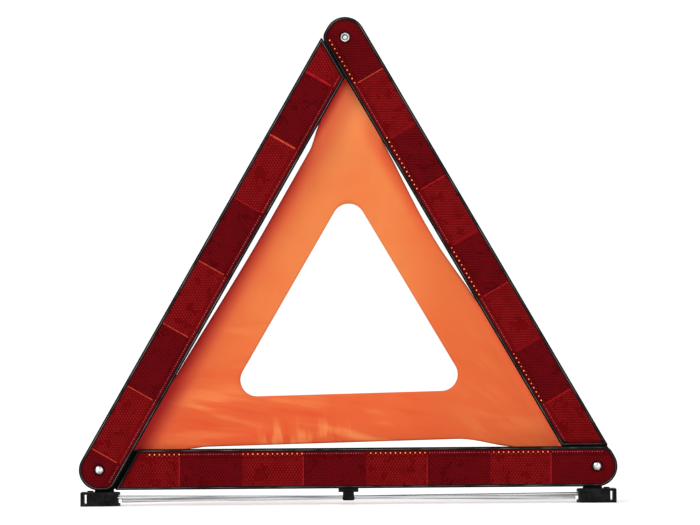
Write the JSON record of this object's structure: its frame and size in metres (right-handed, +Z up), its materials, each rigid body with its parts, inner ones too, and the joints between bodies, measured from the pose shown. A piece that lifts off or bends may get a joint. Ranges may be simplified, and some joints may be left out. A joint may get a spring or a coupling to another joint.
{
  "type": "warning triangle",
  "caption": "Folding emergency warning triangle: red reflex arms riveted at the corners, fluorescent film with a triangular window, swivelling feet with steel leg rods.",
  "frame": {"origin": "on the ground, under the middle of the bottom arm", "axes": "+X to the viewer's right along the bottom arm, +Y to the rear, +Z up"},
  "size_m": [0.438, 0.026, 0.3966],
  "materials": {
    "black_plastic": "moulded, satin",
    "red_reflex": "prismatic red",
    "bright_steel": "nickel plated",
    "rod_steel": "zinc plated",
    "orange_film": "fluorescent coated film"
  },
  "bodies": {
    "base": {"base_housing": "black_plastic", "base_lens": "red_reflex", "left_pivot_rivet": "bright_steel", "right_pivot_rivet": "bright_steel", "left_pivot_bush": "black_plastic", "right_pivot_bush": "black_plastic", "right_pivot_washer": "bright_steel", "fluorescent_film": "orange_film", "rod_clip": "black_plastic", "left_foot_screw": "bright_steel", "right_foot_screw": "bright_steel", "left_foot_washer": "bright_steel", "right_foot_washer": "bright_steel"},
    "left_arm": {"left_housing": "black_plastic", "left_lens": "red_reflex", "latch_tongue": "black_plastic", "latch_stud": "bright_steel", "latch_rivets": "bright_steel"},
    "right_arm": {"right_housing": "black_plastic", "right_lens": "red_reflex", "apex_eyelet": "bright_steel"},
    "left_leg": {"left_foot": "black_plastic", "left_leg_rod": "rod_steel"},
    "right_leg": {"right_foot": "black_plastic", "right_leg_rod": "rod_steel"}
  },
  "joints": [
    {"name": "left_arm_fold", "type": "hinge", "parent": "base", "child": "left_arm", "pos_m": [-0.2025, 0, 0.0294], "axis": [0, 1, 0], "range_deg": [0, 60], "deforming": ["fluorescent_film", "latch_tongue", "latch_stud"]},
    {"name": "right_arm_fold", "type": "hinge", "parent": "base", "child": "right_arm", "pos_m": [0.2025, 0, 0.0294], "axis": [0, -1, 0], "range_deg": [0, 60]},
    {"name": "left_leg_swivel", "type": "hinge", "parent": "base", "child": "left_leg", "pos_m": [-0.1985, 0, 0.0057], "axis": [0, 0, -1], "range_deg": [0, 90], "deforming": ["rod_clip"]},
    {"name": "right_leg_swivel", "type": "hinge", "parent": "base", "child": "right_leg", "pos_m": [0.1985, 0, 0.0057], "axis": [0, 0, -1], "range_deg": [0, 90]}
  ],
  "couplings": [
    {"joint": "right_arm_fold", "follows": "left_arm_fold", "ratio": 1}
  ]
}
